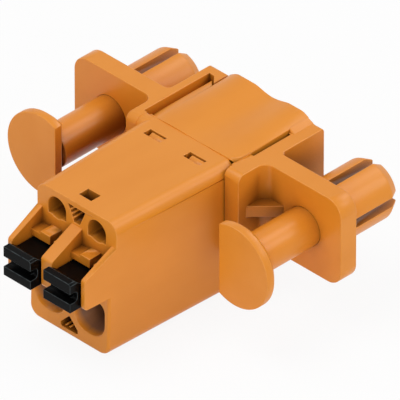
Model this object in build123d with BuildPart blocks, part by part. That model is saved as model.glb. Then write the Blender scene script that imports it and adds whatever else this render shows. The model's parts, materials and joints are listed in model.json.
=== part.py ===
from build123d import *

import os

# Two-pole plug of a circuit board connector with spring clamps, and on each flange
# a split dowel that a thumb pin spreads in the hole of a panel.
# Millimetres. X runs along the poles, Y from the wire entries to the mating face, Z up.
# The origin lies midway between the dowel axes, in the plane where the flange plates meet the panel.

# Poles
pitch = 5.08
pole_count = 2
running_clearance = 0.05
near = 0.01

# Flanges and dowels
dowel_spacing = 24.8
dowel_radius = 3.08
dowel_length = 7.3
dowel_taper_start = 6.3
dowel_end_radius = 2.5
dowel_taper_round = 0.5
dowel_slot = 0.95
plate_thickness = 2.0
plate_height = 9.2
plate_margin = 4.65
plate_corner = 1.7
block_front = -5.45
cheek_back = 5.55
cheek_front_fillet = 1.0
cheek_back_fillet = 0.55
cheek_end_round = 0.4
block_top_round = 0.8
gusset_leg = 2.5
gusset_reach = 1.75
gusset_low = -0.3
gusset_thickness = 1.1

# Channel between cheek and contact carrier: a slit on the right, a wide one on the left
right_channel = 0.35
right_channel_front = -2.0
right_channel_back = 2.7
right_cheek = 1.5
left_channel = 0.77
left_channel_front = -3.9
left_channel_back = 4.4
left_cheek = 0.85

# Notch in the carrier's left rear corner, which the lip of the left flange fills
notch_side = 4.4
notch_front = 3.07
notch_gap = 0.23

# Ribs that hold the flanges in grooves of the housing's sides
rib_centre = -4.75
rib_width = 0.7
rib_depth = 0.45
rib_top = 3.0

# Thumb pins, drawn out at rest
pin_radius = 1.98
pin_head_radius = 4.25
pin_head_thickness = 1.38
pin_head_bevel = 0.55
pin_head_flat = 1.95
pin_travel = 7.5
pin_tip_bevel = 0.6
pin_tip_inset = 0.2

# Wire-side housing
body_height = 14.05
body_front = -18.5
body_back = -4.0
lip_reach = 0.9
lip_slant = 0.2
side_draft = 0.037
top_edge_round = 1.2
bottom_edge_round = 1.15
lip_corner_round = 0.3
front_wall = 2.5

# Wire entries
entry_width = 3.96
entry_top_corner = 0.9
entry_bottom_corner = 1.65
entry_centre = -5.98
entry_depth = 2.0
entry_bore_radius = 1.35
entry_side_wall = 0.53

# Clamp chambers
chamber_width = 3.2
chamber_top = 3.5
chamber_floor = -8.0

# Guard walls and the pockets of the release buttons
guard_reach = 3.87
guard_top = 2.1
guard_tip_top = 0.27
guard_bottom = -2.93
guard_tip_round = 0.35
pocket_width = 3.7
pocket_end_gap = 0.3
ledge_reach = 1.47
ledge_top = 0.37
ledge_bottom = -0.33
tongue_width = 1.27
tongue_shift = -0.05
tongue_rise = 0.3
tongue_slot = 0.43

# Test holes and moulding recesses
test_hole_width = 2.26
test_hole_bottom = 1.84
test_hole_arch = 2.76
recess_top = 4.0
recess_bottom = 2.35
recess_top_width = 2.16
recess_bottom_width = 0.7
recess_front_depth = 0.9
recess_rib_count = 3
recess_rib_thickness = 0.2
recess_rib_inset = 0.4
lower_recess_top = -7.33
lower_recess_shoulder = -8.45
lower_recess_bottom = -8.85
lower_recess_half_width = 1.08
lower_recess_round = 0.3
lower_recess_depth = 1.6
marker_slot_width = 1.54
marker_slot_length = 1.16
marker_slot_shift = -0.13
marker_slot_inset = 1.2
marker_slot_depth = 2.6

# Latches between the housing and the contact carrier
window_width = 2.06
window_length = 0.9
window_back = -5.6
nose_width = 1.5
nose_length = 0.7
nose_rise = 0.85
nose_round = 0.35

# Contact carrier
carrier_left = -5.3
carrier_right = 5.62
carrier_bottom = -5.0
carrier_back = 5.4
carrier_back_round = 0.15
carrier_slope_start = -4.35
carrier_slope_drop = 0.25
wave_crest_shift = 1.05
wave_crest = 0.76
wave_valley = 0.28
wave_left = 0.15
wave_right = 0.33
wave_front_share = 0.1
collar_right = 6.24
collar_front = 2.9
collar_rise = 0.36
cover_thickness = 1.2
cover_inset = 0.2
cover_overlap = 1.0
plug_length = 3.6
plug_bottom = -2.1
plug_gap = 0.1
socket_cavity_width = 2.5
socket_cavity_height = 3.2
mouth_size = 1.8
mouth_wall = 0.8
mouth_chamfer = 0.35

# Release buttons
button_front = -23.59
button_gap = 0.12
button_top = 0.27
button_head_length = 0.72
button_shoulder = -0.5
button_shoulder_start = 1.72
button_bottom = -2.88
button_head_back = -19.2
button_groove_top = -0.83
button_groove_bottom = -1.9
button_groove_depth = 0.93
button_groove_wall = 0.45
button_travel = 1.5
stem_width = 2.6
stem_top = -0.7
stem_bottom = -2.75
barb_length = 0.8
barb_rise = 0.1

# Current bars, clamp springs and socket contacts
bar_width = 2.9
bar_thickness = 0.5
bar_back = -7.8
bar_foot_front = -15.5
bar_tap_front = -13.0
bar_bend = 0.6
spring_width = 2.5
spring_thickness = 0.35
spring_bend = 1.2
spring_bend_inner = 1.08
spring_rest_back = -9.2
spring_bend_centre = -12.0
spring_tip = -9.3
spring_tip_gap = 0.15
socket_width = 1.7
socket_wall = 0.3
socket_height = 2.3
socket_base_length = 3.3
socket_contact_gap = 0.6
socket_mouth_gap = 1.3
socket_end_gap = 0.3
over_spring_wall = 0.2
over_spring_length = 2.4
over_spring_gap = 0.02

# Values that follow from those above
pole_places = [(number - (pole_count - 1) / 2) * pitch for number in range(pole_count)]
plate_top = plate_height / 2
body_top = plate_top
body_bottom = body_top - body_height
lip_front = body_front - lip_reach
lip_foot = lip_front - lip_slant
guard_tip = body_front - guard_reach
lip_half_width = pole_places[-1] + entry_width / 2 + entry_side_wall
tip_half_width = lip_half_width - side_draft * (lip_front - guard_tip)
back_half_width = lip_half_width + side_draft * (body_back - lip_front)
chamber_front = body_front + front_wall
ledge_front = body_front - ledge_reach
slot_floor = guard_bottom - running_clearance
pocket_depth = button_head_back + button_travel + pocket_end_gap - body_front
spring_front = spring_bend_centre - spring_bend
spring_rest_level = (
    chamber_top - bar_thickness - spring_thickness / 2 - 2 * running_clearance
)
spring_knee_level = spring_rest_level - 2 * spring_bend
spring_tip_level = (
    chamber_floor + running_clearance + bar_thickness + spring_tip_gap + spring_thickness / 2
)
leg_slope = (spring_tip - spring_front) / (spring_knee_level - spring_tip_level)
leg_at_stem = spring_front + (spring_knee_level - stem_top) * leg_slope
stem_back = leg_at_stem - spring_thickness / 2 * (1 + leg_slope**2) ** 0.5 - running_clearance
housing_side = back_half_width + running_clearance
dowel_x = dowel_spacing / 2
bore_radius = pin_radius + running_clearance
head_back = -plate_thickness - pin_travel - running_clearance
head_front = head_back - pin_head_thickness
pin_tip = head_back + plate_thickness + dowel_length - pin_tip_inset
plug_top = chamber_top - plug_gap
plug_front = body_back - plug_length
socket_end = carrier_back - mouth_wall - socket_end_gap
lip_side = notch_side + notch_gap
lip_nose = notch_front + 2 * notch_gap
right_lip = [(housing_side, cheek_back), (housing_side, right_channel_back)]
left_lip = [
    (lip_side, cheek_back),
    (lip_side, lip_nose),
    (lip_side + left_channel_back - lip_nose, left_channel_back),
]
far = 40

os.makedirs("parts", exist_ok=True)


def runs_along_y(edge):
    return abs(edge.tangent_at(0.5).Y) > 1 - near


def runs_along_z(edge):
    return abs(edge.tangent_at(0.5).Z) > 1 - near


def at_place(items, axis, place):
    """The corners or edges whose middle lies at one place on an axis."""
    return items.filter_by_position(axis, place - near, place + near)


# The housing that takes the wires: entries below, release buttons in the middle, test holes above
with BuildPart() as wire_housing:
    # Seen from above it narrows towards the wires
    with BuildSketch(Plane.XY.offset(body_bottom)):
        with BuildLine():
            Polyline(
                (-back_half_width, body_back),
                (-tip_half_width, guard_tip),
                (tip_half_width, guard_tip),
                (back_half_width, body_back),
                close=True,
            )
        make_face()
    extrude(amount=body_height)
    # Seen from the side it has an upright front, the guard walls and the slanted lip below them
    with BuildSketch(Plane.YZ.offset(-far)) as side_view:
        with BuildLine():
            Polyline(
                (body_back, body_bottom),
                (body_back, body_top),
                (body_front, body_top),
                (body_front, guard_top),
                (guard_tip, guard_tip_top),
                (guard_tip, guard_bottom),
                (lip_front, guard_bottom),
                (lip_foot, body_bottom),
                close=True,
            )
        make_face()
        fillet(at_place(side_view.vertices(), Axis.X, guard_tip), guard_tip_round)
    extrude(amount=2 * far, mode=Mode.INTERSECT)
    fillet(wire_housing.edges().filter_by(runs_along_y).group_by(Axis.Z)[-1], top_edge_round)
    fillet(wire_housing.edges().filter_by(runs_along_y).group_by(Axis.Z)[0], bottom_edge_round)
    fillet(wire_housing.edges().filter_by(runs_along_z).group_by(Axis.Y)[1], lip_corner_round)
    # Grooves for the ribs of the flanges, open at the bottom
    with BuildSketch(Plane.XY.offset(rib_top + running_clearance)):
        with Locations((-housing_side, rib_centre), (housing_side, rib_centre)):
            Rectangle(
                2 * (rib_depth + running_clearance),
                rib_width + 2 * running_clearance,
            )
    extrude(amount=-far, mode=Mode.SUBTRACT)

    for pole in pole_places:
        # Pocket of the release button, open to the front between the guard walls
        with BuildSketch(Plane.XZ.offset(-body_front)):
            with Locations((pole, (slot_floor + far) / 2)):
                Rectangle(pocket_width, far - slot_floor)
        extrude(amount=far, mode=Mode.SUBTRACT)
        with BuildSketch(Plane.XZ.offset(-body_front)):
            with Locations((pole, (slot_floor + ledge_bottom) / 2)):
                Rectangle(pocket_width, ledge_bottom - slot_floor)
        extrude(amount=-pocket_depth, mode=Mode.SUBTRACT)
        # Ledge over the button, with a raised tongue and a slot beside it
        with BuildSketch(Plane.XZ.offset(-body_front)):
            with Locations((pole, (ledge_bottom + ledge_top) / 2)):
                Rectangle(pocket_width, ledge_top - ledge_bottom)
        extrude(amount=ledge_reach)
        with BuildSketch(Plane.XZ.offset(-body_front)):
            with Locations((pole + tongue_shift, ledge_top + tongue_rise / 2)):
                Rectangle(tongue_width, tongue_rise)
        extrude(amount=ledge_reach)
        tongue_right = pole + tongue_shift + tongue_width / 2
        with BuildSketch(Plane.XZ.offset(-ledge_front)):
            with Locations((tongue_right + tongue_slot / 2, (ledge_bottom + ledge_top) / 2)):
                Rectangle(tongue_slot, ledge_top - ledge_bottom)
        extrude(amount=-ledge_reach, mode=Mode.SUBTRACT)
        # Chamber of the clamp and the slot for the button's stem
        with BuildSketch(Plane.XZ.offset(-body_back)):
            with Locations((pole, (chamber_floor + chamber_top) / 2)):
                Rectangle(chamber_width, chamber_top - chamber_floor)
        extrude(amount=body_back - chamber_front, mode=Mode.SUBTRACT)
        with BuildSketch(Plane.XZ.offset(-body_front)):
            with Locations((pole, (stem_bottom + stem_top) / 2)):
                Rectangle(
                    stem_width + 2 * running_clearance,
                    stem_top - stem_bottom + 2 * running_clearance,
                )
        extrude(amount=-front_wall, mode=Mode.SUBTRACT)
        # Wire entry: a square funnel that narrows to a round hole
        with BuildSketch(Plane.XZ.offset(-lip_foot)) as entry:
            with Locations((pole, entry_centre)):
                Rectangle(entry_width, entry_width)
            fillet(entry.vertices().group_by(Axis.Y)[-1], entry_top_corner)
            fillet(entry.vertices().group_by(Axis.Y)[0], entry_bottom_corner)
        with BuildSketch(Plane.XZ.offset(-lip_foot - entry_depth)):
            with Locations((pole, entry_centre)):
                Circle(entry_bore_radius)
        loft(mode=Mode.SUBTRACT)
        with BuildSketch(Plane.XZ.offset(-chamber_front)):
            with Locations((pole, entry_centre)):
                Circle(entry_bore_radius)
        extrude(amount=chamber_front - lip_foot - entry_depth, mode=Mode.SUBTRACT)
        # Test hole with a flat bottom and a round top
        with BuildSketch(Plane.XZ.offset(-body_front)):
            with Locations((pole, (test_hole_bottom + test_hole_arch) / 2)):
                Rectangle(test_hole_width, test_hole_arch - test_hole_bottom)
            with Locations((pole, test_hole_arch)):
                Circle(test_hole_width / 2)
        extrude(amount=-front_wall, mode=Mode.SUBTRACT)
        # Window for the latch of the contact carrier
        with BuildSketch(Plane.XY.offset(body_top)):
            with Locations((pole, window_back - window_length / 2)):
                Rectangle(window_width, window_length)
        extrude(amount=chamber_top - body_top, mode=Mode.SUBTRACT)

    # Recess between the test holes, with upright ribs
    with BuildSketch(Plane.XZ.offset(-body_front)):
        with BuildLine():
            Polyline(
                (-recess_top_width / 2, recess_top),
                (recess_top_width / 2, recess_top),
                (recess_bottom_width / 2, recess_bottom),
                (-recess_bottom_width / 2, recess_bottom),
                close=True,
            )
        make_face()
    extrude(amount=-recess_front_depth, mode=Mode.SUBTRACT)
    with BuildSketch(Plane.XZ.offset(-body_front - recess_front_depth)):
        with Locations((0, (recess_top + recess_bottom) / 2)):
            with GridLocations(recess_top_width / (recess_rib_count + 1), 0, recess_rib_count, 1):
                Rectangle(recess_rib_thickness, recess_top - recess_bottom + recess_rib_thickness)
    extrude(amount=recess_front_depth - recess_rib_inset)
    # Recess between the wire entries, with a roof that follows their round corners
    with BuildSketch(Plane.XZ.offset(-lip_foot)) as lower_recess:
        with BuildLine():
            Polyline(
                (-lower_recess_half_width, lower_recess_bottom),
                (lower_recess_half_width, lower_recess_bottom),
                (lower_recess_half_width, lower_recess_shoulder),
                (0, lower_recess_top),
                (-lower_recess_half_width, lower_recess_shoulder),
                close=True,
            )
        make_face()
        fillet(lower_recess.vertices(), lower_recess_round / 2)
    extrude(amount=-lower_recess_depth, mode=Mode.SUBTRACT)
    # Slot for a marker in the top
    with BuildSketch(Plane.XY.offset(body_top)):
        with Locations((marker_slot_shift, body_front + marker_slot_inset + marker_slot_length / 2)):
            Rectangle(marker_slot_width, marker_slot_length)
    extrude(amount=-marker_slot_depth, mode=Mode.SUBTRACT)

wire_housing.part.label = "wire_housing"
export_step(wire_housing.part, "parts/wire_housing.step")

# The carrier of the socket contacts, whose top rises in a wave towards the mating face
with BuildPart() as contact_carrier:
    crests = [pole + wave_crest_shift for pole in pole_places]
    wave = [
        (carrier_slope_start, wave_left),
        (crests[0], wave_crest),
        ((crests[0] + crests[1]) / 2, wave_valley),
        (crests[1], wave_crest),
        (carrier_right, wave_right),
    ]
    for place, share in ((body_back, wave_front_share), (carrier_back, 1)):
        with BuildSketch(Plane.XZ.offset(-place)):
            with BuildLine():
                top = Spline([(x, plate_top + share * rise) for x, rise in wave])
                Polyline(
                    top @ 1,
                    (carrier_right, carrier_bottom),
                    (carrier_left, carrier_bottom),
                    (carrier_left, plate_top - carrier_slope_drop),
                    top @ 0,
                )
            make_face()
    loft()
    # Collar that reaches over the right flange
    with BuildSketch(Plane.YZ.offset(carrier_right)) as collar:
        with Locations(((collar_front + carrier_back) / 2, plate_top + collar_rise / 2)):
            Rectangle(carrier_back - collar_front, collar_rise)
        fillet(collar.vertices().group_by(Axis.Y)[-1], carrier_back_round)
    extrude(amount=collar_right - carrier_right)
    # Round end of the top
    with BuildSketch(Plane.YZ.offset(-far / 2)):
        with Locations((carrier_back, plate_top + wave_crest)):
            Rectangle(2 * carrier_back_round, 2 * carrier_back_round)
        with Locations(
            (carrier_back - carrier_back_round, plate_top + wave_crest - carrier_back_round)
        ):
            Circle(carrier_back_round, mode=Mode.SUBTRACT)
    extrude(amount=far, mode=Mode.SUBTRACT)
    # Notch for the lip of the left flange
    with BuildSketch(Plane.XY.offset(-far / 2)):
        with BuildLine():
            Polyline(
                (-notch_side, notch_front),
                (-notch_side, notch_front + far),
                (-notch_side - far, notch_front + far),
                close=True,
            )
        make_face()
    extrude(amount=far, mode=Mode.SUBTRACT)
    # Cover over the open back of the housing, below the block
    cover_height = carrier_bottom + cover_overlap - body_bottom - cover_inset
    with BuildSketch(Plane.XZ.offset(-body_back)):
        with Locations((0, body_bottom + cover_inset + cover_height / 2)):
            Rectangle(2 * (back_half_width - cover_inset), cover_height)
    extrude(amount=-cover_thickness)
    for pole in pole_places:
        # Plug that enters the housing's chamber, with the latch nose on top
        with BuildSketch(Plane.XZ.offset(-body_back)):
            with Locations((pole, (plug_bottom + plug_top) / 2)):
                Rectangle(chamber_width - 2 * plug_gap, plug_top - plug_bottom)
        extrude(amount=plug_length)
        with BuildSketch(Plane.YZ.offset(pole - nose_width / 2)):
            with Locations((window_back - window_length / 2, plug_top + nose_rise / 2)):
                RectangleRounded(nose_length, nose_rise, nose_round / 2)
            with Locations((window_back - window_length / 2, plug_top)):
                Rectangle(nose_length, nose_rise)
        extrude(amount=nose_width)
        # Cavity of the socket contact, and its mouth that widens towards the header
        with BuildSketch(Plane.XZ.offset(-plug_front)):
            with Locations((pole, 0)):
                Rectangle(socket_cavity_width, socket_cavity_height)
        extrude(amount=plug_front - carrier_back + mouth_wall, mode=Mode.SUBTRACT)
        with BuildSketch(Plane.XZ.offset(-carrier_back)):
            with Locations((pole, 0)):
                Rectangle(mouth_size, mouth_size)
        extrude(amount=mouth_wall, mode=Mode.SUBTRACT)
        with BuildSketch(Plane.XZ.offset(-carrier_back)):
            with Locations((pole, 0)):
                Rectangle(mouth_size + 2 * mouth_chamfer, mouth_size + 2 * mouth_chamfer)
        with BuildSketch(Plane.XZ.offset(-carrier_back + mouth_chamfer)):
            with Locations((pole, 0)):
                Rectangle(mouth_size, mouth_size)
        loft(mode=Mode.SUBTRACT)

contact_carrier.part.label = "contact_carrier"
export_step(contact_carrier.part, "parts/contact_carrier.step")


def make_flange(side, cheek_inner, cheek, channel_front, channel_back, lip):
    """Flange moulding on one side of the plug; side is 1 on the right and -1 on the left."""
    cheek_outer = cheek_inner + cheek
    plate_outer = dowel_x + plate_margin
    outline = [
        (housing_side, block_front),
        (cheek_outer, block_front),
        (cheek_outer, -plate_thickness),
        (plate_outer, -plate_thickness),
        (plate_outer, 0),
        (cheek_outer, 0),
        (cheek_outer, cheek_back),
        *lip,
        (cheek_inner, channel_back),
        (cheek_inner, channel_front),
        (housing_side, channel_front),
    ]
    with BuildPart() as flange:
        with BuildSketch(Plane.XY.offset(-plate_top)) as plan:
            with BuildLine():
                Polyline([(side * x, y) for x, y in outline], close=True)
            make_face()
            root = at_place(plan.vertices(), Axis.X, side * cheek_outer)
            fillet(at_place(root, Axis.Y, -plate_thickness), cheek_front_fillet)
            root = at_place(plan.vertices(), Axis.X, side * cheek_outer)
            fillet(at_place(root, Axis.Y, 0), cheek_back_fillet)
        extrude(amount=plate_height)
        fillet(
            at_place(flange.edges().filter_by(Axis.Y), Axis.X, side * plate_outer), plate_corner
        )
        front_edges = at_place(flange.edges().filter_by(Axis.X), Axis.Y, block_front)
        fillet(at_place(front_edges, Axis.Z, plate_top), block_top_round)
        back_edges = at_place(flange.edges().filter_by(Axis.X), Axis.Y, cheek_back)
        fillet(at_place(back_edges, Axis.Z, plate_top), cheek_end_round)
        # Rib that slides into the groove of the housing
        with BuildSketch(Plane.XY.offset(-plate_top)):
            with Locations((side * (housing_side - rib_depth / 2), rib_centre)):
                Rectangle(rib_depth, rib_width)
        extrude(amount=plate_top + rib_top)
        # Gusset between the cheek and the plate
        with BuildSketch(Plane.XY.offset(gusset_low)):
            with BuildLine():
                Polyline(
                    (side * cheek_outer, -plate_thickness),
                    (side * cheek_outer, -plate_thickness - gusset_leg),
                    (side * (cheek_outer + gusset_reach), -plate_thickness),
                    close=True,
                )
            make_face()
        extrude(amount=gusset_thickness)
        # Dowel with a tapered end, split crosswise
        with BuildSketch(Plane.XY) as dowel_section:
            with BuildLine():
                Polyline(
                    (side * dowel_x, 0),
                    (side * dowel_x + dowel_radius, 0),
                    (side * dowel_x + dowel_radius, dowel_taper_start),
                    (side * dowel_x + dowel_end_radius, dowel_length),
                    (side * dowel_x, dowel_length),
                    close=True,
                )
            make_face()
            fillet(at_place(dowel_section.vertices(), Axis.Y, dowel_taper_start), dowel_taper_round)
        revolve(axis=Axis((side * dowel_x, 0, 0), (0, 1, 0)))
        with BuildSketch(Plane.XZ.offset(-dowel_length)):
            with Locations((side * dowel_x, 0)):
                Rectangle(dowel_slot, 2 * dowel_radius + dowel_slot)
                Rectangle(2 * dowel_radius + dowel_slot, dowel_slot)
        extrude(amount=dowel_length, mode=Mode.SUBTRACT)
        # Bore of the thumb pin
        with BuildSketch(Plane.XZ.offset(-dowel_length)):
            with Locations((side * dowel_x, 0)):
                Circle(bore_radius)
        extrude(amount=dowel_length + plate_thickness, mode=Mode.SUBTRACT)
    return flange


flange_right = make_flange(
    1,
    carrier_right + right_channel,
    right_cheek,
    right_channel_front,
    right_channel_back,
    right_lip,
)
flange_right.part.label = "flange_right"
export_step(flange_right.part, "parts/flange_right.step")

flange_left = make_flange(
    -1, left_channel - carrier_left, left_cheek, left_channel_front, left_channel_back, left_lip
)
flange_left.part.label = "flange_left"
export_step(flange_left.part, "parts/flange_left.step")


def make_pin(side):
    """Thumb pin with a round head that is cut flat towards the body."""
    with BuildPart() as pin:
        with BuildSketch(Plane.XZ.offset(-head_front)):
            with Locations((side * dowel_x, 0)):
                Circle(pin_head_radius)
            with Locations((side * (dowel_x - pin_head_flat - far / 2), 0)):
                Rectangle(far, far, mode=Mode.SUBTRACT)
        extrude(amount=-pin_head_thickness)
        chamfer(pin.edges().group_by(Axis.Y)[-1], pin_head_bevel)
        with BuildSketch(Plane.XZ.offset(-head_back)):
            with Locations((side * dowel_x, 0)):
                Circle(pin_radius)
        extrude(amount=head_back - pin_tip)
        chamfer(pin.edges().group_by(Axis.Y)[-1], pin_tip_bevel)
    return pin


pin_right = make_pin(1)
pin_right.part.label = "pin_right"
export_step(pin_right.part, "parts/pin_right.step")

pin_left = make_pin(-1)
pin_left.part.label = "pin_left"
export_step(pin_left.part, "parts/pin_left.step")


def make_button(pole):
    """Release button: a grooved head between the guard walls and a stem that opens the clamp."""
    half_width = pocket_width / 2 - button_gap
    groove_height = button_groove_top - button_groove_bottom
    groove_level = button_groove_bottom + groove_height / 2
    groove_end = pole + half_width - button_groove_wall - groove_height / 2
    barb_front = chamber_front + running_clearance
    with BuildPart() as button:
        with BuildSketch(Plane.YZ.offset(pole - half_width)):
            with BuildLine():
                Polyline(
                    (button_front, button_bottom),
                    (button_front, button_top),
                    (button_front + button_head_length, button_top),
                    (button_front + button_shoulder_start, button_shoulder),
                    (button_head_back, button_shoulder),
                    (button_head_back, button_bottom),
                    close=True,
                )
            make_face()
        extrude(amount=2 * half_width)
        # Groove for the tip of a screwdriver, open on the left and rounded on the right
        with BuildSketch(Plane.XZ.offset(-button_front)):
            with Locations((groove_end, groove_level)):
                Circle(groove_height / 2)
            with Locations((groove_end - half_width, groove_level)):
                Rectangle(2 * half_width, groove_height)
        extrude(amount=-button_groove_depth, mode=Mode.SUBTRACT)
        with BuildSketch(Plane.XZ.offset(-button_head_back)):
            with Locations((pole, (stem_bottom + stem_top) / 2)):
                Rectangle(stem_width, stem_top - stem_bottom)
        extrude(amount=button_head_back - stem_back)
        # Barb that holds the button in the housing
        with BuildSketch(Plane.XY.offset(stem_bottom)):
            with BuildLine():
                Polyline(
                    (pole - stem_width / 2 - barb_rise, barb_front),
                    (pole + stem_width / 2 + barb_rise, barb_front),
                    (pole + stem_width / 2, barb_front + barb_length),
                    (pole - stem_width / 2, barb_front + barb_length),
                    close=True,
                )
            make_face()
        extrude(amount=stem_top - stem_bottom)
    return button


def make_bar(pole):
    """Current bar: a foot under the wire, a riser and a leg behind the test hole."""
    foot_level = chamber_floor + running_clearance + bar_thickness / 2
    tap_level = chamber_top - running_clearance - bar_thickness / 2
    riser = bar_back - bar_thickness / 2
    with BuildPart() as bar:
        with BuildSketch(Plane.YZ.offset(pole - bar_width / 2)):
            with BuildLine():
                strip = FilletPolyline(
                    (bar_foot_front, foot_level),
                    (riser, foot_level),
                    (riser, tap_level),
                    (bar_tap_front, tap_level),
                    radius=bar_bend,
                )
            trace(strip, line_width=bar_thickness)
        extrude(amount=bar_width)
    return bar


def make_clamp_spring(pole):
    """Clamp spring: one leg lies under the bar's upper leg, the other presses the wire on its foot."""
    with BuildPart() as spring:
        with BuildSketch(Plane.YZ.offset(pole - spring_width / 2)):
            with BuildLine():
                strip = FilletPolyline(
                    (spring_rest_back, spring_rest_level),
                    (spring_front, spring_rest_level),
                    (spring_front, spring_knee_level),
                    (spring_tip, spring_tip_level),
                    radius=spring_bend_inner,
                )
            trace(strip, line_width=spring_thickness)
        extrude(amount=spring_width)
    return spring


def make_socket(pole):
    """Socket contact: a fork of two arms that grip the pin of the header."""
    back = socket_end
    front = bar_back + socket_wall / 2
    arm = socket_width / 2
    with BuildPart() as socket:
        with BuildSketch(Plane.XY.offset(-socket_height / 2)):
            with BuildLine():
                strip = Polyline(
                    (pole - socket_mouth_gap / 2, back),
                    (pole - socket_contact_gap / 2 - socket_wall / 2, back - socket_base_length / 2),
                    (pole - arm, front + socket_base_length),
                    (pole - arm, front),
                    (pole + arm, front),
                    (pole + arm, front + socket_base_length),
                    (pole + socket_contact_gap / 2 + socket_wall / 2, back - socket_base_length / 2),
                    (pole + socket_mouth_gap / 2, back),
                )
            trace(strip, line_width=socket_wall)
        extrude(amount=socket_height)
    return socket


def make_over_spring(pole):
    """Steel sleeve round the base of the socket contact."""
    inner_width = socket_width + socket_wall + 2 * over_spring_gap
    inner_height = socket_height + 2 * over_spring_gap
    with BuildPart() as sleeve:
        with BuildSketch(Plane.XZ.offset(-bar_back - socket_wall - running_clearance)):
            with Locations((pole, 0)):
                Rectangle(inner_width + 2 * over_spring_wall, inner_height + 2 * over_spring_wall)
                Rectangle(inner_width, inner_height, mode=Mode.SUBTRACT)
        extrude(amount=-over_spring_length)
    return sleeve


inner_pieces = {
    "release_button": make_button,
    "current_bar": make_bar,
    "clamp_spring": make_clamp_spring,
    "socket_contact": make_socket,
    "over_spring": make_over_spring,
}
for number, pole in enumerate(pole_places, start=1):
    for name, make in inner_pieces.items():
        piece = make(pole)
        piece.part.label = f"{name}_{number}"
        export_step(piece.part, f"parts/{name}_{number}.step")
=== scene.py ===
import json
import math

import bmesh
import bpy
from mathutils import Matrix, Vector


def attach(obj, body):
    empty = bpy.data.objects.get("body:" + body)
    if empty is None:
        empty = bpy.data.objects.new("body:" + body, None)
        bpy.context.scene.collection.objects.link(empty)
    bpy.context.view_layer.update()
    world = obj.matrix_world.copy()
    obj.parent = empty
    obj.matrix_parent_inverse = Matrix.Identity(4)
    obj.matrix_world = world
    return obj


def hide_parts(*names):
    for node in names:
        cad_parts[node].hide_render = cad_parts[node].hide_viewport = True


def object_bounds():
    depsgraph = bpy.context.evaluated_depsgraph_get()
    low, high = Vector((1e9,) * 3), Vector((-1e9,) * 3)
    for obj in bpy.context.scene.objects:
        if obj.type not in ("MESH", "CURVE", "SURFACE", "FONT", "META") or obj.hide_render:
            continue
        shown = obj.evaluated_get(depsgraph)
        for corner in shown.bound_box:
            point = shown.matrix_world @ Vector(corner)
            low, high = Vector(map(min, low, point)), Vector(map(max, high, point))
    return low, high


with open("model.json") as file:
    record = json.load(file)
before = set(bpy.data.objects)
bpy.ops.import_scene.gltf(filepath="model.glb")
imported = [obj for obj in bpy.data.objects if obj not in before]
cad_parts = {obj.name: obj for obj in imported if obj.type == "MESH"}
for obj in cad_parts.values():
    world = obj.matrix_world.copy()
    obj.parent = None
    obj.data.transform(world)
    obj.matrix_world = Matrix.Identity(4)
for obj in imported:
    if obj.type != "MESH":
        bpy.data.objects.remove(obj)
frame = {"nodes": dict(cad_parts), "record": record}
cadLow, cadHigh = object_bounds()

mm = 0.001
white = (1, 1, 1, 1)
poles = {1: -2.54, 2: 2.54}  # where the two poles lie along X, in millimetres
scene = bpy.context.scene
bodies = frame["record"]["behaviour"]["bodies"]
bodyOf = {node: body for body, nodes in bodies.items() for node in nodes}


# Building bricks of the materials. Every pattern lies on Object coordinates, in metres.
def newMaterial(name, constants):
    material = bpy.data.materials.new(name)
    material.use_nodes = True
    tree = material.node_tree
    shader = tree.nodes["Principled BSDF"]
    for socket, value in constants.items():
        shader.inputs[socket].default_value = value
    return material, tree, shader


def speckle(tree, size, detail=2.0, stretch=(1, 1, 1)):
    # noise whose blotches are about as large as size; stretch draws it out along an axis
    place = tree.nodes.new("ShaderNodeTexCoord")
    mapping = tree.nodes.new("ShaderNodeMapping")
    mapping.inputs["Scale"].default_value = [1 / part for part in stretch]
    noise = tree.nodes.new("ShaderNodeTexNoise")
    noise.inputs["Scale"].default_value = 1 / size
    noise.inputs["Detail"].default_value = detail
    tree.links.new(place.outputs["Object"], mapping.inputs["Vector"])
    tree.links.new(mapping.outputs["Vector"], noise.inputs["Vector"])
    return noise.outputs["Fac"]


def spread(tree, value, fromLow, fromHigh, toLow, toHigh):
    ranged = tree.nodes.new("ShaderNodeMapRange")
    tree.links.new(value, ranged.inputs["Value"])
    for socket, number in (
        ("From Min", fromLow), ("From Max", fromHigh), ("To Min", toLow), ("To Max", toHigh)
    ):
        ranged.inputs[socket].default_value = number
    return ranged.outputs["Result"]


def product(tree, first, second):
    times = tree.nodes.new("ShaderNodeMath")
    times.operation = "MULTIPLY"
    tree.links.new(first, times.inputs[0])
    tree.links.new(second, times.inputs[1])
    return times.outputs["Value"]


def tint(tree, factor, low, high):
    # a colour between low and high, each a colour or another node's output
    mix = tree.nodes.new("ShaderNodeMix")
    mix.data_type = "RGBA"
    tree.links.new(factor, mix.inputs["Factor"])
    for socket, colour in ((mix.inputs[6], low), (mix.inputs[7], high)):
        if isinstance(colour, tuple):
            socket.default_value = (*colour, 1)
        else:
            tree.links.new(colour, socket)
    return mix.outputs[2]


def attribute(tree, name):
    reader = tree.nodes.new("ShaderNodeAttribute")
    reader.attribute_name = name
    return reader.outputs["Fac"]


# Noise keeps mostly to its middle: its soft span for colours, its wide one for gloss and for the
# edges' wear and painted highlight.
softSpan = (0.35, 0.65)
wideSpan = (0.3, 0.7)
# holeSpan: openness mapped onto the painted shade in hollows
holeSpan = (0.12, 0.74)  # openness that counts as the bottom of a hole, and as open


def edgeWearAndHighlight(tree, look):
    # follows the rounded edges, which carry the attribute, and breaks up along them: a painted
    # highlight on the plastics, wear on the metals
    patches = spread(tree, speckle(tree, look["wearAndHighlightSize"]), *wideSpan, *look["wearAndHighlight"])
    return product(tree, attribute(tree, "edgeRound"), patches)


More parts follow.
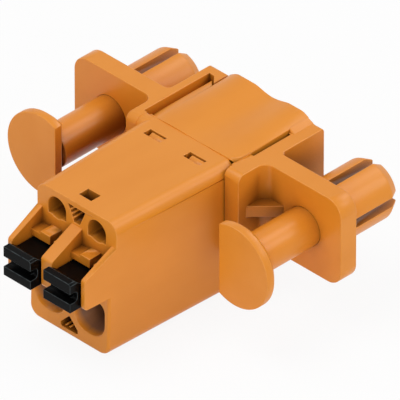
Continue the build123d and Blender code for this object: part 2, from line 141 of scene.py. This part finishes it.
def paintedCreviceShade(tree, look):
    # painted shade from ambient occlusion: 1 in the open, towards 0 deep in a hole
    depth = tree.nodes.new("ShaderNodeAmbientOcclusion")
    depth.samples = 8
    depth.only_local = look["ownHollowsOnly"]
    depth.inputs["Distance"].default_value = look["shadeReach"]
    return spread(tree, depth.outputs["AO"], *holeSpan, 0, 1)


def relief(tree, shader, layers):
    normal = None
    for height, distance, strength in layers:
        bump = tree.nodes.new("ShaderNodeBump")
        bump.inputs["Distance"].default_value = distance
        bump.inputs["Strength"].default_value = strength
        tree.links.new(height, bump.inputs["Height"])
        if normal:
            tree.links.new(normal, bump.inputs["Normal"])
        normal = bump.outputs["Normal"]
    tree.links.new(normal, shader.inputs["Normal"])


orangePlastic = {
    "body": (0.785, 0.272, 0.022),
    "flowMarks": (0.755, 0.255, 0.019),
    # the colour of the painted shade at the bottom of hollows and crevices
    "paintedShade": (0.06, 0.018, 0.003),
    # a painted highlight along the rounded edges
    "wornAndLitEdge": (0.84, 0.36, 0.09),
    # the colour of the painted reflection in the wire entries
    "funnelSheen": (0.13, 0.095, 0.088),
    "sheenDepth": (0.02, 0.3),
    "sheenStrength": (0.55, 0.95),
    "wearAndHighlightSize": 0.8 * mm,
    "wearAndHighlight": (0.15, 0.6),
    "gloss": (0.30, 0.40),
    "reflection": 0.34,
    "shadeReach": 2.6 * mm,
    "ownHollowsOnly": True,
    "flowSize": 3.5 * mm,
    "flowStretch": (1, 2.4, 1),
    "waveDepth": 0.02 * mm,
    "waveStrength": 0.3,
    "grainSize": 0.09 * mm,
    "grainDepth": 0.0025 * mm,
    "grainStrength": 0.5,
}
# Copies whose painted shade reaches farther and counts other pieces: the right flange and the pins
# stand in their shade.
flangeShadePlastic = dict(orangePlastic, shadeReach=4.5 * mm, ownHollowsOnly=False)
pinShadePlastic = dict(
    orangePlastic, shadeReach=7.5 * mm, ownHollowsOnly=False, paintedShade=(0.07, 0.022, 0.003)
)


def makeOrangePlastic(name, look):
    material, tree, shader = newMaterial(name, {"Specular IOR Level": look["reflection"]})
    flow = speckle(tree, look["flowSize"], 3, look["flowStretch"])
    grain = speckle(tree, look["grainSize"])
    skin = tint(tree, spread(tree, flow, *softSpan, 0, 1), look["body"], look["flowMarks"])
    # lighter along the rounded edges: a painted highlight
    skin = tint(tree, edgeWearAndHighlight(tree, look), skin, look["wornAndLitEdge"])
    # painted reflection: a greyish sheen in the wire entries, from the rim of their entry inwards
    entered = spread(tree, attribute(tree, "funnelSheen"), *look["sheenDepth"], 0, 1)
    patches = spread(tree, flow, softSpan[0], wideSpan[1], *look["sheenStrength"])
    skin = tint(tree, product(tree, entered, patches), skin, look["funnelSheen"])
    # painted shade: the colour darkens in hollows, crevices and between parts
    skin = tint(tree, paintedCreviceShade(tree, look), look["paintedShade"], skin)
    tree.links.new(skin, shader.inputs["Base Color"])
    tree.links.new(spread(tree, flow, *wideSpan, *look["gloss"]), shader.inputs["Roughness"])
    relief(tree, shader, [
        (flow, look["waveDepth"], look["waveStrength"]),
        (grain, look["grainDepth"], look["grainStrength"]),
    ])
    return material


blackPlastic = {
    "body": (0.0016, 0.0016, 0.0017),
    "mottle": (0.0026, 0.0027, 0.0028),
    "mottleSize": 1.2 * mm,
    # a painted highlight along the rounded edges
    "wornAndLitEdge": (0.10, 0.12, 0.125),
    "wearAndHighlightSize": 0.5 * mm,
    "wearAndHighlight": (0.3, 1.0),
    "gloss": (0.26, 0.36),
    "reflection": 0.05,
    "grainSize": 0.12 * mm,
    "grainDepth": 0.003 * mm,
    "grainStrength": 0.5,
}


def makeBlackPlastic(look):
    material, tree, shader = newMaterial("blackPlastic", {"Specular IOR Level": look["reflection"]})
    mottle = speckle(tree, look["mottleSize"], 3)
    grain = speckle(tree, look["grainSize"])
    skin = tint(tree, spread(tree, mottle, *softSpan, 0, 1), look["body"], look["mottle"])
    # lighter along the rounded edges: a painted highlight
    skin = tint(tree, edgeWearAndHighlight(tree, look), skin, look["wornAndLitEdge"])
    tree.links.new(skin, shader.inputs["Base Color"])
    tree.links.new(spread(tree, mottle, *wideSpan, *look["gloss"]), shader.inputs["Roughness"])
    relief(tree, shader, [(grain, look["grainDepth"], look["grainStrength"])])
    return material


rolledMetal = {"cloudSize": 1.5 * mm, "wearAndHighlightSize": 0.4 * mm, "lineStrength": 0.6}
tinnedCopper = {
    **rolledMetal,
    "body": (0.56, 0.53, 0.49),
    "dull": (0.42, 0.39, 0.35),
    "wornAndLitEdge": (0.62, 0.36, 0.22),
    "wearAndHighlight": (0.1, 0.8),
    "gloss": (0.28, 0.42),
    "drawn": (1, 12, 1),
    "lineSize": 0.06 * mm,
    "lineDepth": 0.002 * mm,
}
springSteel = {
    **rolledMetal,
    "body": (0.50, 0.51, 0.53),
    "dull": (0.36, 0.37, 0.39),
    "wornAndLitEdge": (0.66, 0.66, 0.67),
    "wearAndHighlight": (0.1, 0.7),
    "gloss": (0.20, 0.34),
    "drawn": (1, 1, 14),
    "lineSize": 0.05 * mm,
    "lineDepth": 0.0015 * mm,
}


def makeMetal(name, look):
    material, tree, shader = newMaterial(name, {"Metallic": 1.0})
    cloud = speckle(tree, look["cloudSize"], 3)
    lines = speckle(tree, look["lineSize"], 2, look["drawn"])  # marks of rolling and drawing
    skin = tint(tree, spread(tree, cloud, *softSpan, 0, 1), look["body"], look["dull"])
    skin = tint(tree, edgeWearAndHighlight(tree, look), skin, look["wornAndLitEdge"])
    tree.links.new(skin, shader.inputs["Base Color"])
    tree.links.new(spread(tree, lines, *wideSpan, *look["gloss"]), shader.inputs["Roughness"])
    relief(tree, shader, [(lines, look["lineDepth"], look["lineStrength"])])
    return material


finishes = {
    "orange_plastic": makeOrangePlastic("orangePlastic", orangePlastic),
    "orange_flange_shade": makeOrangePlastic("orangePlasticFlangeShade", flangeShadePlastic),
    "orange_pin_shade": makeOrangePlastic("orangePlasticPinShade", pinShadePlastic),
    "black_plastic": makeBlackPlastic(blackPlastic),
    "tinned_copper": makeMetal("tinnedCopper", tinnedCopper),
    "spring_steel": makeMetal("springSteel", springSteel),
}
print("materials made")

meshing = {
    "weld": 0.0004 * mm,
    "flatWithin": math.radians(0.3),
    "sharpFrom": math.radians(27),
    "steps": 2,
    "reach": 0.03 * mm,
    "flatWeight": 90,
}


def addObject(name, data):
    piece = bpy.data.objects.new(name, data)
    scene.collection.objects.link(piece)
    return piece


def plainMesh(piece):
    # the mesh of a piece with its modifiers worked in
    worked = piece.evaluated_get(bpy.context.evaluated_depsgraph_get())
    return bpy.data.meshes.new_from_object(worked)


def joinFlatFaces(form):
    bmesh.ops.dissolve_limit(
        form, angle_limit=meshing["flatWithin"], verts=form.verts, edges=form.edges
    )


def within(point, room):
    # room is two opposite corners of a box, in millimetres
    low, high = (Vector(corner) * mm for corner in room)
    reach = meshing["reach"]
    return all(low[i] - reach <= point[i] <= high[i] + reach for i in range(3))


def edgesIn(form, room):
    return [edge for edge in form.edges if all(within(vert.co, room) for vert in edge.verts)]


def roundOff(form, edges, radius, steps):
    return bmesh.ops.bevel(
        form, geom=edges, offset=radius, offset_type="OFFSET", segments=steps,
        profile=0.5, affect="EDGES", clamp_overlap=False,
    )["faces"]


# Rounds the outer edges of a closed form as the mould leaves them, and finishes it as a piece.
def finishPiece(form, name, slot, body, edgeRadius, crisp=(), finish=None):
    outer = []
    for edge in form.edges:
        if len(edge.link_faces) == 2 and edge.calc_face_angle() > meshing["sharpFrom"]:
            kept = any(all(within(vert.co, room) for vert in edge.verts) for room in crisp)
            if edge.is_convex and not kept:
                outer.append(edge)
            else:
                edge.smooth = False
    strips = set(roundOff(form, outer, edgeRadius, meshing["steps"]))
    edgeRound = form.verts.layers.float.new("edgeRound")
    for vert in form.verts:
        vert[edgeRound] = float(bool(vert.link_faces) and strips.issuperset(vert.link_faces))
    for face in form.faces:
        face.smooth = True
    mesh = bpy.data.meshes.new(name)
    form.to_mesh(mesh)
    form.free()
    piece = addObject(name, mesh)
    weighting = piece.modifiers.new("flatFacesFlat", "WEIGHTED_NORMAL")
    weighting.keep_sharp = True
    weighting.weight = meshing["flatWeight"]
    shaped = plainMesh(piece)
    piece.modifiers.clear()
    piece.data = shaped
    shaped.name = name
    shaped.materials.clear()
    shaped.materials.append(finishes[finish or slot])
    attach(piece, body)
    return piece


def copyOf(node):
    # a closed copy of a CAD node: loose triangles joined, and the flat ones made one face
    form = bmesh.new()
    form.from_mesh(frame["nodes"][node].data)
    bmesh.ops.remove_doubles(form, verts=form.verts, dist=meshing["weld"])
    joinFlatFaces(form)
    return form


def roundedPiece(node, name, slot, look, form=None):
    piece = finishPiece(
        form or copyOf(node), name, slot, bodyOf[node], look["edgeRadius"], look.get("crisp", ()),
        look.get("finish"),
    )
    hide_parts(node)
    return piece


# A straight moulding: an outline in millimetres, along its own two axes, drawn out along the third.
def drawnOut(outline, along, start, end):
    form = bmesh.new()
    spots = {
        "x": lambda a, b, depth: (depth, a, b),
        "y": lambda a, b, depth: (a, depth, b),
        "z": lambda a, b, depth: (a, b, depth),
    }[along]
    lower, upper = (
        [form.verts.new(Vector(spots(a, b, depth)) * mm) for a, b in outline]
        for depth in (start, end)
    )
    form.faces.new(lower)
    form.faces.new(upper)
    for i in range(len(outline)):
        after = (i + 1) % len(outline)
        form.faces.new((lower[i], lower[after], upper[after], upper[i]))
    bmesh.ops.recalc_face_normals(form, faces=form.faces)
    return form


def cutBy(form, cutter):
    # takes the closed form cutter out of form; both end as one new form
    objects = []
    for name, part in (("whole", form), ("cutter", cutter)):
        mesh = bpy.data.meshes.new(name)
        part.to_mesh(mesh)
        part.free()
        objects.append(addObject(name, mesh))
    cut = objects[0].modifiers.new("cut", "BOOLEAN")
    cut.operation = "DIFFERENCE"
    cut.solver = "EXACT"
    cut.object = objects[1]
    result = bmesh.new()
    result.from_mesh(plainMesh(objects[0]))
    for spent in objects:
        bpy.data.objects.remove(spent)
    joinFlatFaces(result)
    return result


wireHousing = {
    "edgeRadius": 0.08 * mm,
    "crisp": [((-6, -4.06, 3), (6, -3.9, 4.7))],  # the joint with the carrier
}
recess = {
    "outline": [(-1.08, 4.0), (1.08, 4.0), (0.35, 2.35), (-0.35, 2.35)],
    "front": -20.2,
    "back": -16.6,
}
funnel = {"front": -19.4, "back": -17.2, "level": -5.98, "reach": 2.6}


def markFunnels(form, look):
    # 0 at the rim of a wire entry to 1 at its throat, for the painted reflection of the orange
    # plastic
    sheen = form.verts.layers.float.new("funnelSheen")
    for vert in form.verts:
        spot = vert.co / mm
        nearest = min(math.hypot(spot.x - pole, spot.z - look["level"]) for pole in poles.values())
        if nearest < look["reach"] and look["front"] < spot.y:
            vert[sheen] = min(1, (spot.y - look["front"]) / (look["back"] - look["front"]))


def makeWireHousing():
    form = copyOf("wire_housing")
    # the moulding recess between the test holes, as deep as the photograph shows it
    form = cutBy(form, drawnOut(recess["outline"], "y", recess["front"], recess["back"]))
    markFunnels(form, funnel)
    roundedPiece("wire_housing", "wireHousing", "orange_plastic", wireHousing, form)


makeWireHousing()

recessRibs = {
    "upperRibs": {
        "count": 3,
        "radius": 0.1,
        "length": 1.9,
        "start": (-0.84, -17.5, 3.5),
        "step": (0.17, 0, -0.385),
    },
    "lowerRibs": {
        "count": 2,
        "radius": 0.09,
        "length": 1.3,
        "start": (-0.72, -18.6, -8.82),
        "step": (0.5, 0, 0),
    },
}
ribSides = 16


def makeRibTree():
    # round ribs in a row, all along Y: a line of points, a rib on each
    tree = bpy.data.node_groups.new("ribsInARow", "GeometryNodeTree")
    panel = tree.interface
    panel.new_socket("Geometry", in_out="INPUT", socket_type="NodeSocketGeometry")
    sockets = {}
    for name, kind in (
        ("Count", "Int"), ("Radius", "Float"), ("Length", "Float"), ("Start", "Vector"),
        ("Step", "Vector"), ("Material", "Material"),
    ):
        socket = panel.new_socket(name, in_out="INPUT", socket_type="NodeSocket" + kind)
        sockets[name] = socket.identifier
    panel.new_socket("Geometry", in_out="OUTPUT", socket_type="NodeSocketGeometry")
    asked = tree.nodes.new("NodeGroupInput").outputs
    row = tree.nodes.new("GeometryNodeMeshLine")
    rib = tree.nodes.new("GeometryNodeMeshCylinder")
    rib.inputs["Vertices"].default_value = ribSides
    placed = tree.nodes.new("GeometryNodeInstanceOnPoints")
    placed.inputs["Rotation"].default_value = (math.pi / 2, 0, 0)
    real = tree.nodes.new("GeometryNodeRealizeInstances")
    painted = tree.nodes.new("GeometryNodeSetMaterial")
    link = tree.links.new
    link(asked["Count"], row.inputs["Count"])
    link(asked["Start"], row.inputs["Start Location"])
    link(asked["Step"], row.inputs["Offset"])
    link(asked["Radius"], rib.inputs["Radius"])
    link(asked["Length"], rib.inputs["Depth"])
    link(row.outputs["Mesh"], placed.inputs["Points"])
    link(rib.outputs["Mesh"], placed.inputs["Instance"])
    link(placed.outputs["Instances"], real.inputs["Geometry"])
    link(real.outputs["Geometry"], painted.inputs["Geometry"])
    link(asked["Material"], painted.inputs["Material"])
    link(painted.outputs["Geometry"], tree.nodes.new("NodeGroupOutput").inputs["Geometry"])
    return tree, sockets


def makeRibs(looks):
    tree, sockets = makeRibTree()
    for name, look in looks.items():
        piece = addObject(name, bpy.data.meshes.new(name))
        row = piece.modifiers.new("ribs", "NODES")
        row.node_group = tree
        row[sockets["Count"]] = look["count"]
        row[sockets["Radius"]] = look["radius"] * mm
        row[sockets["Length"]] = look["length"] * mm
        row[sockets["Start"]] = Vector(look["start"]) * mm
        row[sockets["Step"]] = Vector(look["step"]) * mm
        row[sockets["Material"]] = finishes["orange_plastic"]
        shaped = plainMesh(piece)
        piece.modifiers.clear()
        piece.data = shaped
        smooth = [len(face.vertices) == 4 for face in shaped.polygons]  # all but the ends
        shaped.polygons.foreach_set("use_smooth", smooth)
        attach(piece, "plug")


makeRibs(recessRibs)

contactCarrier = {
    "edgeRadius": 0.08 * mm,
    "crisp": [
        ((-6, -4.1, 3), (6, -3.8, 5)),  # the joint with the housing
        ((5.5, -4.1, 3), (5.75, 2.8, 5)),  # the joint with the right flange
        ((5.5, 2.7, 4.0), (6.4, 5.6, 5.2)),  # the collar
        ((-6, 5.2, 4.3), (6.4, 5.6, 5.6)),  # the end of the wave
    ],
    "collarEdge": ((6.2, 2.8, 4.62), (6.3, 5.5, 5.2)),
    "collarFoot": 4.6 * mm,
}


def makeCarrier(look):
    # the collar over the right flange falls off outwards, down to the flange's top
    form = copyOf("contact_carrier")
    edge = [vert for vert in form.verts if within(vert.co, look["collarEdge"])]
    bmesh.ops.triangulate(form, faces=list({face for vert in edge for face in vert.link_faces}))
    for vert in edge:
        vert.co.z = look["collarFoot"]
    roundedPiece("contact_carrier", "contactCarrier", "orange_plastic", look, form)


makeCarrier(contactCarrier)

latchNose = {
    "edgeRadius": 0.06 * mm,
    "left": -0.62,
    "right": 1.0,
    "profile": [  # y and z: a ramp towards the wire side, a straight catch behind
        (-6.47, 3.6), (-6.47, 3.98), (-6.38, 4.17), (-6.22, 4.33), (-6.02, 4.44), (-5.84, 4.48),
        (-5.73, 4.47), (-5.7, 4.42), (-5.7, 3.6),
    ],
}


def makeLatchNoses(look):
    for pole, middle in poles.items():
        form = drawnOut(look["profile"], "x", middle + look["left"], middle + look["right"])
        finishPiece(form, f"latchNose{pole}", "orange_plastic", "plug", look["edgeRadius"])


makeLatchNoses(latchNose)

flange = {
    "edgeRadius": 0.09 * mm,
    "finish": {"left": "orange_plastic", "right": "orange_flange_shade"},
    "pinHole": (10.2, 14.6),
    "innerFace": (5.5, 5.75),
}
thumbPin = {
    "edgeRadius": 0.08 * mm,
    "finish": "orange_pin_shade",
    "axis": 12.4 * mm,
    "radius": 1.98 * mm,
    "levelWithin": 0.05,
}
holeLining = {
    "edgeRadius": 0.001 * mm,
    "inner": 1.995,
    "outer": 2.25,
    "front": -1.96,
    "back": -1.7,
    "sides": 96,
}


def makeHoleLining(look, side, axis):
    # narrows the gap round the pin at the plate's face to a fine line
    form = bmesh.new()
    rings = []
    for radius, level in (
        (look["inner"], look["front"]), (look["outer"], look["front"]),
        (look["outer"], look["back"]), (look["inner"], look["back"]),
    ):
        turns = (2 * math.pi * i / look["sides"] for i in range(look["sides"]))
        rings.append([
            form.verts.new(
                Vector((axis + radius * math.cos(turn), level, radius * math.sin(turn))) * mm
            )
            for turn in turns
        ])
    for ring, after in zip(rings, rings[1:] + rings[:1]):
        for i in range(look["sides"]):
            j = (i + 1) % look["sides"]
            form.faces.new((ring[i], ring[j], after[j], after[i]))
    bmesh.ops.recalc_face_normals(form, faces=form.faces)
    finishPiece(form, f"{side}HoleLining", "orange_plastic", "plug", look["edgeRadius"])


def roundShading(piece, axis, look):
    # lights the shaft round a line along Y as evenly as a turned one
    mesh = piece.data
    normals = [corner.vector.copy() for corner in mesh.corner_normals]
    for face in mesh.polygons:
        for corner in face.loop_indices:
            point = mesh.vertices[mesh.loops[corner].vertex_index].co
            out = Vector((point.x - axis, 0, point.z))
            onShaft = abs(out.length - look["radius"]) < meshing["reach"]
            if onShaft and abs(face.normal.y) < look["levelWithin"]:
                normals[corner] = out.normalized()
    mesh.normals_split_custom_set(normals)


for side, sign in (("left", -1), ("right", 1)):
    pinHole = sorted(sign * place for place in flange["pinHole"])
    innerFace = sorted(sign * place for place in flange["innerFace"])
    look = dict(flange, finish=flange["finish"][side], crisp=[
        ((pinHole[0], -2.02, -2.2), (pinHole[1], -1.98, 2.2)),  # the rim of the thumb pin's hole
        ((innerFace[0], -5.5, 3), (innerFace[1], 2.8, 4.7)),  # the joint with the carrier
    ])
    roundedPiece(f"flange_{side}", f"{side}Flange", "orange_plastic", look)
    pin = roundedPiece(f"pin_{side}", f"{side}ThumbPin", "orange_plastic", thumbPin)
    roundShading(pin, sign * thumbPin["axis"], thumbPin)
    makeHoleLining(holeLining, side, sign * thumbPin["axis"] / mm)

gusset = {
    "edgeRadius": 0.07 * mm,
    "finish": "orange_flange_shade",
    "leg": 2.4,
    "low": -0.28,
    "high": 0.92,
    "cheekFace": 7.43,
    "plateFace": -2.0,
    "buried": 0.2,
}


def makeGusset(look):
    # a three-cornered web between the right cheek and its plate, set a little into both
    cheek = look["cheekFace"] - look["buried"]
    plate = look["plateFace"] + look["buried"]
    reach = look["leg"] + 2 * look["buried"]
    outline = [(cheek, plate), (cheek, plate - reach), (cheek + reach, plate)]
    form = drawnOut(outline, "z", look["low"], look["high"])
    finishPiece(
        form, "rightGusset", "orange_plastic", "plug", look["edgeRadius"], finish=look["finish"]
    )


makeGusset(gusset)

# Where two mouldings meet flush, the joint between them shows only as a fine line.
joints = {
    "edgeRadius": 0.004 * mm,
    "level": 4.588,
    "depth": 0.5,
    "strips": {  # x and y
        "rearJoint": [(-5.2, -4.04), (5.5, -4.04), (5.5, -3.9), (-5.2, -3.9)],
        "rightJoint": [
            (4.9, -4.04), (5.5, -4.04), (5.5, -4.32), (5.72, -4.32), (5.72, -2.05), (5.58, -2.05),
            (5.3, -3.3), (4.9, -3.6),
        ],
        "collarJoint": [(6.1, 2.9), (6.4, 2.9), (6.4, 5.35), (6.1, 5.35)],
    },
}
for name, strip in joints["strips"].items():
    form = drawnOut(strip, "z", joints["level"] - joints["depth"], joints["level"])
    finishPiece(form, name, "orange_plastic", "plug", joints["edgeRadius"])

# The left cheek runs on round the housing's corner, which the solids leave open.
leftShoulder = {
    "edgeRadius": 0.02 * mm,
    "outline": [  # y and z
        (-5.43, 3.1), (-5.43, 3.8), (-5.37, 4.1), (-5.2, 4.35), (-4.94, 4.52), (-4.65, 4.585),
        (-4.06, 4.585), (-4.06, 3.1),
    ],
    "outer": -5.75,
    "inner": -4.5,
}
form = drawnOut(leftShoulder["outline"], "x", leftShoulder["outer"], leftShoulder["inner"])
finishPiece(form, "leftShoulder", "orange_plastic", "plug", leftShoulder["edgeRadius"])

releaseButton = {
    "edgeRadius": 0.06 * mm,
    "halfWidth": 1.73,
    "front": -23.59,
    "head": 0.72,
    "top": 0.27,
    "bladeSlot": {"top": -0.83, "bottom": -1.9, "depth": 0.93, "backRound": 0.35, "past": 0.4},
    "cornerCut": 0.2 * mm,
    "cornerRoom": 0.02,
}


def makeButton(look, pole, middle):
    # the slot for a blade goes right across, with a rounded back, and one corner is cut off
    slot = look["bladeSlot"]
    back = look["front"] + slot["depth"]
    bend = slot["backRound"]
    arc = [
        (back - bend + bend * math.cos(turn), level + sign * bend * math.sin(turn))
        for level, sign, turns in (
            (slot["bottom"] + bend, -1, (90, 60, 30, 0)),
            (slot["top"] - bend, 1, (0, 30, 60, 90)),
        )
        for turn in map(math.radians, turns)
    ]
    mouth = look["front"] - slot["past"]
    outline = [(mouth, slot["bottom"]), *arc, (mouth, slot["top"])]
    half = look["halfWidth"]
    cutter = drawnOut(outline, "x", middle - half - slot["past"], middle + half + slot["past"])
    form = cutBy(copyOf(f"release_button_{pole}"), cutter)
    side, room = middle + half, look["cornerRoom"]
    corner = edgesIn(form, (
        (side - room, look["front"] - room, look["top"] - room),
        (side + room, look["front"] + look["head"] + room, look["top"] + room),
    ))
    roundOff(form, corner, look["cornerCut"], 1)
    roundedPiece(f"release_button_{pole}", f"releaseButton{pole}", "black_plastic", look, form)


for pole, middle in poles.items():
    makeButton(releaseButton, pole, middle)
print("mouldings made")

metalParts = {
    "current_bar": {"piece": "currentBar", "slot": "tinned_copper", "edgeRadius": 0.04 * mm},
    "socket_contact": {"piece": "socketContact", "slot": "tinned_copper", "edgeRadius": 0.03 * mm},
    "clamp_spring": {"piece": "clampSpring", "slot": "spring_steel", "edgeRadius": 0.03 * mm},
    "over_spring": {"piece": "overSpring", "slot": "spring_steel", "edgeRadius": 0.03 * mm},
}
for node, part in metalParts.items():
    for pole in poles:
        roundedPiece(f"{node}_{pole}", f"{part['piece']}{pole}", part["slot"], part)
print("metal parts made")


def backgroundRays(tree):
    # 1 for the camera and for what gloss or glass shows, so that these see the white background
    path = tree.nodes.new("ShaderNodeLightPath")
    seen = path.outputs["Is Camera Ray"]
    for ray in ("Is Glossy Ray", "Is Transmission Ray"):
        either = tree.nodes.new("ShaderNodeMath")
        either.operation = "MAXIMUM"
        tree.links.new(seen, either.inputs[0])
        tree.links.new(path.outputs[ray], either.inputs[1])
        seen = either.outputs["Value"]
    return seen


studioFloor = {"size": 1.2, "below": 0.01 * mm, "white": 0.9, "roughness": 0.9, "shadowShare": 0.1}


def makeFloor(look):
    bpy.ops.mesh.primitive_plane_add(size=look["size"], location=(0, 0, cadLow.z - look["below"]))
    floor = bpy.context.object
    floor.name = "studioFloor"
    material, tree, shader = newMaterial("paleFloor", {
        "Base Color": (look["white"], look["white"], look["white"], 1),
        "Roughness": look["roughness"],
        "Specular IOR Level": 0.0,
    })
    glow = tree.nodes.new("ShaderNodeEmission")
    glow.inputs["Color"].default_value = white
    share = spread(tree, backgroundRays(tree), 0, 1, 0, 1 - look["shadowShare"])
    mix = tree.nodes.new("ShaderNodeMixShader")
    tree.links.new(share, mix.inputs["Fac"])
    tree.links.new(shader.outputs["BSDF"], mix.inputs[1])
    tree.links.new(glow.outputs["Emission"], mix.inputs[2])
    tree.links.new(mix.outputs["Shader"], tree.nodes["Material Output"].inputs["Surface"])
    floor.data.materials.append(material)


makeFloor(studioFloor)

studioAir = {"ambient": 0.52}


def makeWorld(look):
    world = bpy.data.worlds.new("studio")
    scene.world = world
    world.use_nodes = True
    tree = world.node_tree
    ambient = tree.nodes["Background"]
    ambient.inputs["Color"].default_value = white
    ambient.inputs["Strength"].default_value = look["ambient"]
    backdrop = tree.nodes.new("ShaderNodeBackground")
    backdrop.inputs["Color"].default_value = white
    pick = tree.nodes.new("ShaderNodeMixShader")
    tree.links.new(backgroundRays(tree), pick.inputs["Fac"])
    tree.links.new(ambient.outputs["Background"], pick.inputs[1])
    tree.links.new(backdrop.outputs["Background"], pick.inputs[2])
    tree.links.new(pick.outputs["Shader"], tree.nodes["World Output"].inputs["Surface"])


makeWorld(studioAir)

lamps = {
    "keyLamp": {"from": (-0.13, -0.17, 0.47), "size": 0.32, "watts": 0.95},
    "sideLamp": {"from": (0.40, -0.30, 0.13), "size": 0.30, "watts": 0.55},
    "rimLamp": {"from": (0.30, 0.30, 0.30), "size": 0.20, "watts": 0.5},
    # seen in gloss alone: a sheen on the round dowels and pins, and on the carrier's top
    "sheenLamp": {"from": (0.04, 0.37, 0.38), "size": 0.22, "watts": 0.65, "glossOnly": True},
}
for name, lamp in lamps.items():
    light = bpy.data.lights.new(name, "AREA")
    light.size = lamp["size"]
    light.energy = lamp["watts"]
    lampObject = addObject(name, light)
    lampObject.location = lamp["from"]
    lampObject.rotation_euler = (-Vector(lamp["from"])).to_track_quat("-Z", "Y").to_euler()
    lampObject.visible_diffuse = not lamp.get("glossOnly")
print("studio made")

shot = {
    "azimuth": 45,
    "elevation": 35.264,
    "lens": 1500,
    "sensor": 36,
    "frameWidth": 36.07 * mm,
    "target": Vector((2.872, -5.736, 0)) * mm,
    "clip": (0.1, 10),
}


def makeCamera(look):
    data = bpy.data.cameras.new("camera")
    camera = addObject("camera", data)
    turn, lift = math.radians(look["azimuth"]), math.radians(look["elevation"])
    level = Vector((math.sin(turn), -math.cos(turn), 0)) * math.cos(lift)
    back = level + Vector((0, 0, math.sin(lift)))
    data.lens = look["lens"]
    data.sensor_width = look["sensor"]
    data.clip_start, data.clip_end = look["clip"]
    camera.location = look["target"] + back * look["frameWidth"] / look["sensor"] * look["lens"]
    camera.rotation_euler = (-back).to_track_quat("-Z", "Y").to_euler()
    scene.camera = camera


makeCamera(shot)
scene.view_settings.view_transform = "Standard"
print("camera set")
